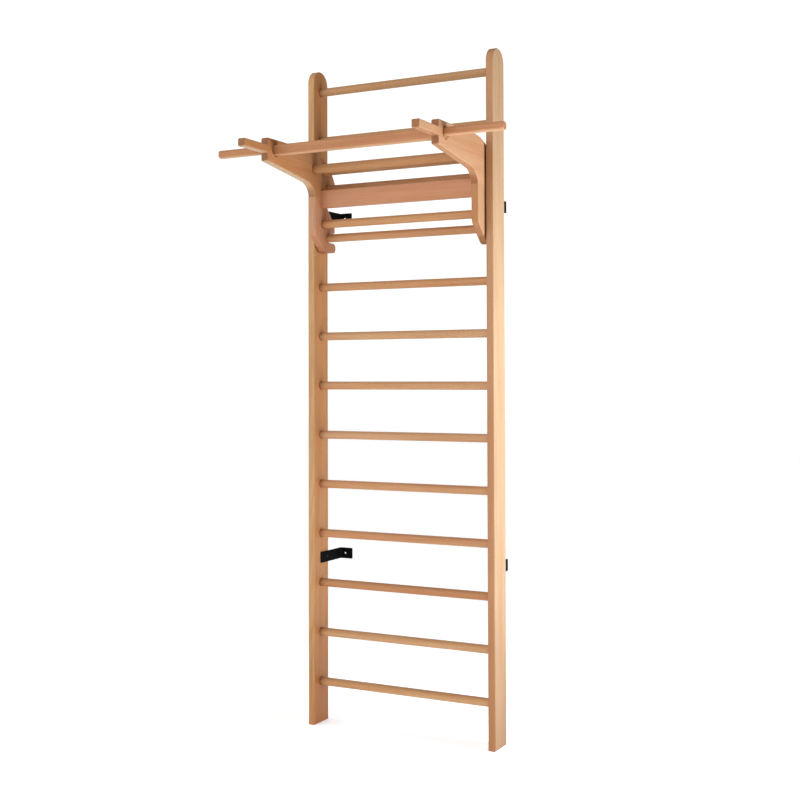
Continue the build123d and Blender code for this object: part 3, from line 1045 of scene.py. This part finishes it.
def make_materials():
    """Every material slot of the record."""
    return {
        "upright_wood": wood("upright_wood", "Z", (0.31, 0.22), 0.0, darker_below=DARKER_BELOW),
        "rung_wood": wood("rung_wood", "X", (0.05, 0.013), 1.7),
        "plate_wood": wood("plate_wood", "Y", (0.26, -1.6), 3.1),
        "leg_wood": wood("leg_wood", "Z", (0.28, 0.1), 4.3),
        "crossbar_wood": wood("crossbar_wood", "X", (0.3, -1.9), 5.9),
        "dowel_wood": wood("dowel_wood", "X", (-0.12, -1.86), 7.3),
        "board_wood": wood("board_wood", "X", (-0.1, -1.7), 8.8),
        "pin_wood": wood(
            "pin_wood", "X", (0.04, 0.02), 9.4, PIN_LIGHT, PIN_DARK, RAW_SHINE, with_tone_and_light=False),
        "black_steel": painted_steel("black_steel", BLACK_PAINT, 0.0, 0.6),
        "screw_steel": painted_steel("screw_steel", BLACK_OXIDE, 0.6, 0.32),
    }


# ---- scene --------------------------------------------------------------------------------------
def add_camera():
    """The camera at the photograph's viewing angle."""
    forward = Vector((
        -sin(CAMERA_YAW) * cos(CAMERA_PITCH),
        cos(CAMERA_YAW) * cos(CAMERA_PITCH),
        sin(CAMERA_PITCH),
    ))
    level = Vector((cos(CAMERA_YAW), sin(CAMERA_YAW), 0.0))
    upward = level.cross(forward)
    right = cos(CAMERA_ROLL) * level + sin(CAMERA_ROLL) * upward
    up = cos(CAMERA_ROLL) * upward - sin(CAMERA_ROLL) * level
    turn = Matrix((right, up, -forward)).transposed().to_4x4()
    data = bpy.data.cameras.new("camera")
    data.sensor_width = 36.0
    data.lens = CAMERA_LENS
    data.shift_x, data.shift_y = CAMERA_SHIFT
    camera = bpy.data.objects.new("camera", data)
    camera.matrix_world = Matrix.Translation(CAMERA_PLACE) @ turn
    bpy.context.scene.collection.objects.link(camera)
    bpy.context.scene.camera = camera


def add_soft_box(name, place, aim, size, power, colour):
    """A rectangular soft box that faces a point and that the camera doesn't see."""
    data = bpy.data.lights.new(name, "AREA")
    data.shape = "RECTANGLE"
    data.size, data.size_y = size
    data.energy = power
    data.color = colour
    light = bpy.data.objects.new(name, data)
    towards = (Vector(aim) - Vector(place)).normalized()
    light.visible_camera = False
    light.matrix_world = (
        Matrix.Translation(place) @ towards.to_track_quat("-Z", "Y").to_matrix().to_4x4()
    )
    bpy.context.scene.collection.objects.link(light)


def add_floor():
    """A plain pale floor."""
    half = FLOOR_HALF
    mesh = bpy.data.meshes.new("floor")
    corners = [(-half, -half), (half, -half), (half, half), (-half, half)]
    mesh.from_pydata([(x, y, FLOOR_Z) for x, y in corners], [], [(0, 1, 2, 3)])
    floor = bpy.data.objects.new("floor", mesh)
    bpy.context.scene.collection.objects.link(floor)
    material, tree, shader = start_material("floor_paint")
    coordinates = tree.nodes.new("ShaderNodeTexCoord")
    speckle = noise(tree, coordinates.outputs["Object"], 3.0, 4.0)
    tree.links.new(mixed(tree, speckle, *FLOOR_PAINT), shader.inputs["Base Color"])
    shader.inputs["Roughness"].default_value = 0.9
    shader.inputs["Specular IOR Level"].default_value = 0.1
    shader.inputs["Emission Color"].default_value = WHITE
    shader.inputs["Emission Strength"].default_value = FLOOR_GLOW
    mesh.materials.append(material)


def add_lights():
    """A white room and one strong soft box at the right."""
    world = bpy.data.worlds.new("white_room")
    world.use_nodes = True
    tree = world.node_tree
    background = tree.nodes["Background"]
    background.inputs["Color"].default_value = WHITE
    coordinates = tree.nodes.new("ShaderNodeTexCoord")
    direction = tree.nodes.new("ShaderNodeSeparateXYZ")
    tree.links.new(coordinates.outputs["Generated"], direction.inputs[0])
    beside = ramp(tree, direction.outputs["X"], -0.05, 0.55, ROOM_STRENGTH, ROOM_STRENGTH * ROOM_RIGHT)
    above = ramp(tree, direction.outputs["Z"], 0.15, 0.8, 1.0, ROOM_TOP)
    before = ramp(tree, direction.outputs["Y"], 0.0, -0.8, 1.0, ROOM_FRONT)
    strength = maths(tree, "MULTIPLY", beside, maths(tree, "MULTIPLY", above, before))
    seen = socket(tree, "LightPath", {}, output="Is Camera Ray")
    strength = socket(tree, "Mix", {0: seen, 2: strength, 3: ROOM_STRENGTH})
    tree.links.new(strength, background.inputs["Strength"])
    bpy.context.scene.world = world
    add_soft_box("key", KEY_PLACE, KEY_AIM, KEY_SIZE, KEY_POWER, KEY_COLOUR)


# ---- everything together ------------------------------------------------------------------------
materials = make_materials()
for node, cad_object in frame["nodes"].items():
    for slot in cad_object.material_slots:
        slot.material = materials[record_slot(node)]

make_upright("left_upright", -1, materials)
make_upright("right_upright", 1, materials)
for rung in RUNGS:
    make_dowel(rung, RUNG_BORE_DEPTH, materials)
for bracket, sign in BRACKETS.items():
    make_wall_bracket(bracket, sign, materials)
make_screws(materials)

outline = plate_outline()
arm_outline = cut_outline(outline, GLUE_LINE, True)
leg_outline = cut_outline(outline, GLUE_LINE, False)
for name, sign in (("left", -1), ("right", 1)):
    make_plate_half(f"{name}_plate_arm", sign, arm_outline, ARM_BORES, materials)
    make_plate_half(f"{name}_plate_leg", sign, leg_outline, LEG_BORES, materials)
for dowel in ("front_dowel", "rear_dowel", "lower_dowel"):
    make_dowel(dowel, DOWEL_BORE_DEPTH, materials)
make_crossbar(materials)
make_spreader_board(materials)

add_floor()
add_lights()
add_camera()
bpy.context.scene.view_settings.view_transform = "Standard"
